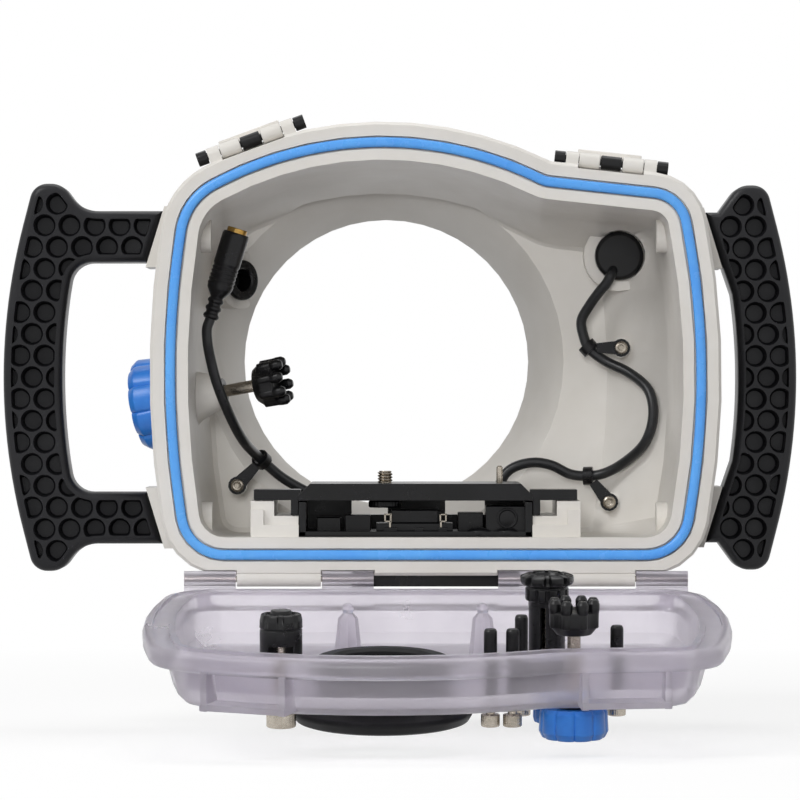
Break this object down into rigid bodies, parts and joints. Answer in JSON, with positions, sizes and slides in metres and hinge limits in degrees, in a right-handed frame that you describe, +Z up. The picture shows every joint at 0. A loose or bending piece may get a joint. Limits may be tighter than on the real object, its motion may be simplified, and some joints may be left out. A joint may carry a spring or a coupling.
{
  "type": "underwater camera housing",
  "caption": "Camera housing for use under water: pale shell with a round lens port, clear hinged rear door with controls, black hand grips and a camera tray.",
  "frame": {"origin": "centre of the underside of the base plate", "axes": "+Z is up, out of the top of the shell; +Y points out of the lens port; -Y is the open rear with the hinged door; +X is the right as seen from behind"},
  "size_m": [0.337, 0.3093, 0.2526],
  "materials": {
    "shell": "satin",
    "seal": "satin",
    "blue": "semi-gloss",
    "black": "satin",
    "rubber": "matt",
    "steel": "turned",
    "gold": "plated",
    "clear": "clear"
  },
  "bodies": {
    "housing": {"body_shell": "shell", "door_seal": "seal", "base_plate": "black", "plate_screw_rear": "steel", "plate_screw_front": "steel", "grip_left": "black", "grip_right": "black", "grip_screw_left_lower": "steel", "grip_screw_left_upper": "steel", "grip_screw_right_lower": "steel", "grip_screw_right_upper": "steel", "zoom_washer": "rubber", "bush": "black", "gland_cap": "black", "cable_left": "rubber", "connector": "black", "connector_tip": "gold", "cable_right": "rubber", "clip_left": "black", "clip_upper": "black", "clip_lower": "black", "clip_screw_left": "steel", "clip_screw_upper": "steel", "clip_screw_lower": "steel", "tray_frame": "black", "contact_frame": "steel", "latch_pin_left": "black", "latch_pin_right": "black", "hinge_pin": "steel"},
    "door": {"door_shell": "clear", "eyepiece_ring": "black", "eyepiece_window": "clear", "eyecup": "rubber", "dial_collar": "black"},
    "tray": {"tray_plate": "black", "locating_pin": "steel"},
    "tray_screw": {"camera_screw": "steel"},
    "zoom_control": {"zoom_knob": "blue", "zoom_shaft": "steel", "zoom_wheel": "black"},
    "main_dial": {"dial_knob": "blue", "dial_shaft": "steel", "dial_wheel": "black"},
    "menu_control": {"menu_knob": "blue", "menu_shaft": "steel", "menu_dial": "black"},
    "crown": {"crown_wheel": "black", "crown_knob": "steel"},
    "button_a": {"button_cap_a": "steel", "button_rod_a": "black"},
    "button_b": {"button_cap_b": "steel", "button_rod_b": "black"},
    "button_c": {"button_cap_c": "steel", "button_rod_c": "black"},
    "button_d": {"button_cap_d": "steel", "button_rod_d": "black"},
    "latch_left": {"latch_lever_left": "shell", "latch_claw_left": "black"},
    "latch_right": {"latch_lever_right": "shell", "latch_claw_right": "black"}
  },
  "joints": [
    {"name": "door_hinge", "type": "hinge", "parent": "housing", "child": "door", "pos_m": [0, -0.047, 0.0034], "axis": [1, 0, 0], "range_deg": [-96.6, 0]},
    {"name": "latch_left_turn", "type": "hinge", "parent": "housing", "child": "latch_left", "pos_m": [-0.07724, -0.045, 0.18631], "axis": [0.9385, 0, 0.3453], "range_deg": [0, 178]},
    {"name": "latch_right_turn", "type": "hinge", "parent": "housing", "child": "latch_right", "pos_m": [0.07323, -0.045, 0.17686], "axis": [0.9943, 0, -0.1064], "range_deg": [0, 178]},
    {"name": "zoom_turn", "type": "hinge", "parent": "housing", "child": "zoom_control", "pos_m": [-0.10176, 0.005, 0.0796], "axis": [0.9576, -0.2299, 0.1736], "continuous": true},
    {"name": "main_dial_turn", "type": "hinge", "parent": "door", "child": "main_dial", "pos_m": [0.053, -0.18288, -0.04031], "axis": [0, -0.1149, 0.9934], "continuous": true},
    {"name": "menu_turn", "type": "hinge", "parent": "door", "child": "menu_control", "pos_m": [0.0434, -0.14811, -0.03628], "axis": [0, -0.1149, 0.9934], "continuous": true},
    {"name": "crown_turn", "type": "hinge", "parent": "door", "child": "crown", "pos_m": [-0.0613, -0.19281, -0.04146], "axis": [0, -0.1149, 0.9934], "continuous": true},
    {"name": "button_a_push", "type": "slide", "parent": "door", "child": "button_a", "axis": [0, -0.1149, 0.9934], "range_m": [0, 0.002], "stiffness_N_per_m": 200, "springref_m": -0.002},
    {"name": "button_b_push", "type": "slide", "parent": "door", "child": "button_b", "axis": [0, -0.1149, 0.9934], "range_m": [0, 0.002], "stiffness_N_per_m": 200, "springref_m": -0.002},
    {"name": "button_c_push", "type": "slide", "parent": "door", "child": "button_c", "axis": [0, -0.1149, 0.9934], "range_m": [0, 0.002], "stiffness_N_per_m": 200, "springref_m": -0.002},
    {"name": "button_d_push", "type": "slide", "parent": "door", "child": "button_d", "axis": [0, -0.1149, 0.9934], "range_m": [0, 0.002], "stiffness_N_per_m": 200, "springref_m": -0.002},
    {"name": "tray_slide", "type": "slide", "parent": "housing", "child": "tray", "axis": [0, -1, 0], "range_m": [0, 0.055]},
    {"name": "camera_screw_turn", "type": "hinge", "parent": "tray", "child": "tray_screw", "pos_m": [-0.0213, -0.02, 0.04], "axis": [0, 0, 1], "continuous": true}
  ]
}
